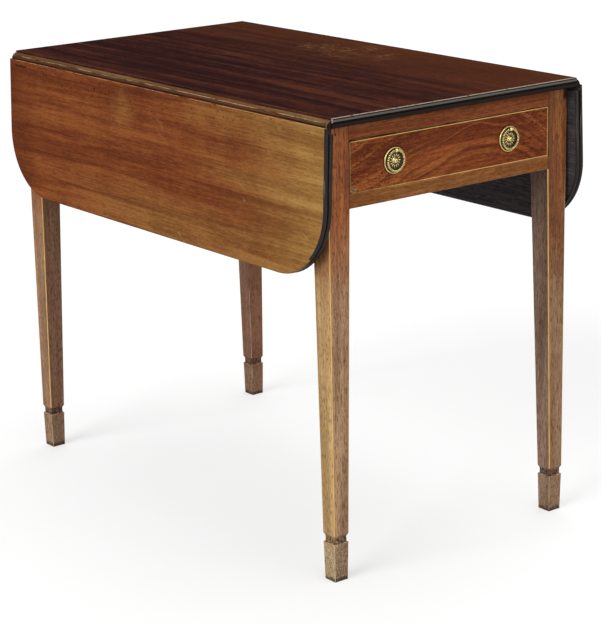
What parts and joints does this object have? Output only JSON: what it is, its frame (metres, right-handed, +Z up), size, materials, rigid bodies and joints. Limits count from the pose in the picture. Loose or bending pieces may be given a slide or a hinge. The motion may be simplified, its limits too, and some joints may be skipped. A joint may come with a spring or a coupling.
{
  "type": "pembroke table",
  "caption": "Drop-leaf occasional table with square tapered legs on block feet, an end drawer with ring handles, rule-jointed leaves on hinges and fly brackets under the leaves.",
  "frame": {"origin": "on the floor, under the middle of the fixed top", "axes": "+Z up, -Y out of the drawer front, +X to the right of someone facing the drawer"},
  "size_m": [0.5268, 0.87, 0.712],
  "materials": {
    "mahogany_top": "dark polished mahogany",
    "mahogany_leaf": "faded polished mahogany",
    "mahogany_frame": "polished mahogany",
    "mahogany_front": "figured mahogany, polished",
    "boxwood": "polished boxwood line",
    "oak": "bare oak and pine, aged",
    "brass": "pale lacquered brass",
    "iron": "dark wrought iron"
  },
  "bodies": {
    "frame": {"top_board": "mahogany_top", "leg_back_right": "mahogany_frame", "leg_stringing_back_right": "boxwood", "fly_block_back_right": "oak", "leg_back_left": "mahogany_frame", "leg_stringing_back_left": "boxwood", "fly_block_back_left": "oak", "leg_front_right": "mahogany_frame", "leg_stringing_front_right": "boxwood", "fly_block_front_right": "oak", "leg_front_left": "mahogany_frame", "leg_stringing_front_left": "boxwood", "fly_block_front_left": "oak", "front_upper_rail": "mahogany_frame", "front_lower_rail": "mahogany_frame", "back_rail": "mahogany_front", "back_rail_stringing": "boxwood", "fly_pins": "iron", "drawer_stops": "oak", "glue_blocks": "oak", "top_fixing_screws": "iron", "hinge_top_screws": "iron", "back_handle_plates": "brass", "back_handle_posts": "brass", "back_handle_nuts": "brass", "side_rail_right": "oak", "fly_centre_right": "oak", "drawer_runner_right": "oak", "drawer_kicker_right": "oak", "hinge_top_plates_right": "iron", "hinge_pins_right": "iron", "side_rail_left": "oak", "fly_centre_left": "oak", "drawer_runner_left": "oak", "drawer_kicker_left": "oak", "hinge_top_plates_left": "iron", "hinge_pins_left": "iron"},
    "drawer": {"drawer_side_right": "oak", "drawer_side_left": "oak", "drawer_front": "mahogany_front", "drawer_stringing": "boxwood", "drawer_back": "oak", "drawer_bottom": "oak", "drawer_handle_plates": "brass", "drawer_handle_posts": "brass", "drawer_handle_nuts": "brass"},
    "fly_bracket_back_right": {"fly_bracket_back_right": "oak"},
    "handle_ring_back_right": {"handle_ring_back_right": "brass"},
    "fly_bracket_back_left": {"fly_bracket_back_left": "oak"},
    "handle_ring_back_left": {"handle_ring_back_left": "brass"},
    "fly_bracket_front_right": {"fly_bracket_front_right": "oak"},
    "handle_ring_front_right": {"handle_ring_front_right": "brass"},
    "fly_bracket_front_left": {"fly_bracket_front_left": "oak"},
    "handle_ring_front_left": {"handle_ring_front_left": "brass"},
    "leaf_right": {"leaf_right": "mahogany_leaf", "hinge_leaf_plates_right": "iron", "hinge_leaf_screws_right": "iron"},
    "leaf_left": {"leaf_left": "mahogany_leaf", "hinge_leaf_plates_left": "iron", "hinge_leaf_screws_left": "iron"}
  },
  "joints": [
    {"name": "drawer_slide", "type": "slide", "parent": "frame", "child": "drawer", "axis": [0, -1, 0], "range_m": [0, 0.43]},
    {"name": "leaf_right_hinge", "type": "hinge", "parent": "frame", "child": "leaf_right", "pos_m": [0.241, 0, 0.699], "axis": [0, -1, 0], "range_deg": [0, 87.6]},
    {"name": "leaf_left_hinge", "type": "hinge", "parent": "frame", "child": "leaf_left", "pos_m": [-0.241, 0, 0.699], "axis": [0, 1, 0], "range_deg": [0, 87.6]},
    {"name": "handle_ring_back_right_swing", "type": "hinge", "parent": "frame", "child": "handle_ring_back_right", "pos_m": [0.114, 0.422, 0.6472], "axis": [1, 0, 0], "range_deg": [0, 95]},
    {"name": "handle_ring_back_left_swing", "type": "hinge", "parent": "frame", "child": "handle_ring_back_left", "pos_m": [-0.114, 0.422, 0.6472], "axis": [1, 0, 0], "range_deg": [0, 95]},
    {"name": "handle_ring_front_right_swing", "type": "hinge", "parent": "drawer", "child": "handle_ring_front_right", "pos_m": [0.114, -0.422, 0.6472], "axis": [-1, 0, 0], "range_deg": [0, 95]},
    {"name": "handle_ring_front_left_swing", "type": "hinge", "parent": "drawer", "child": "handle_ring_front_left", "pos_m": [-0.114, -0.422, 0.6472], "axis": [-1, 0, 0], "range_deg": [0, 95]},
    {"name": "fly_bracket_back_right_swing", "type": "hinge", "parent": "frame", "child": "fly_bracket_back_right", "pos_m": [0.2215, 0.308, 0.647], "axis": [0, 0, 1], "range_deg": [0, 90]},
    {"name": "fly_bracket_back_left_swing", "type": "hinge", "parent": "frame", "child": "fly_bracket_back_left", "pos_m": [-0.2215, 0.308, 0.647], "axis": [0, 0, -1], "range_deg": [0, 90]},
    {"name": "fly_bracket_front_right_swing", "type": "hinge", "parent": "frame", "child": "fly_bracket_front_right", "pos_m": [0.2215, -0.308, 0.647], "axis": [0, 0, -1], "range_deg": [0, 90]},
    {"name": "fly_bracket_front_left_swing", "type": "hinge", "parent": "frame", "child": "fly_bracket_front_left", "pos_m": [-0.2215, -0.308, 0.647], "axis": [0, 0, 1], "range_deg": [0, 90]}
  ],
  "couplings": [
    {"joint": "fly_bracket_back_right_swing", "follows": "leaf_right_hinge", "ratio": 0.09},
    {"joint": "fly_bracket_back_left_swing", "follows": "leaf_left_hinge", "ratio": 0.09},
    {"joint": "fly_bracket_front_right_swing", "follows": "leaf_right_hinge", "ratio": 0.09},
    {"joint": "fly_bracket_front_left_swing", "follows": "leaf_left_hinge", "ratio": 0.09}
  ]
}
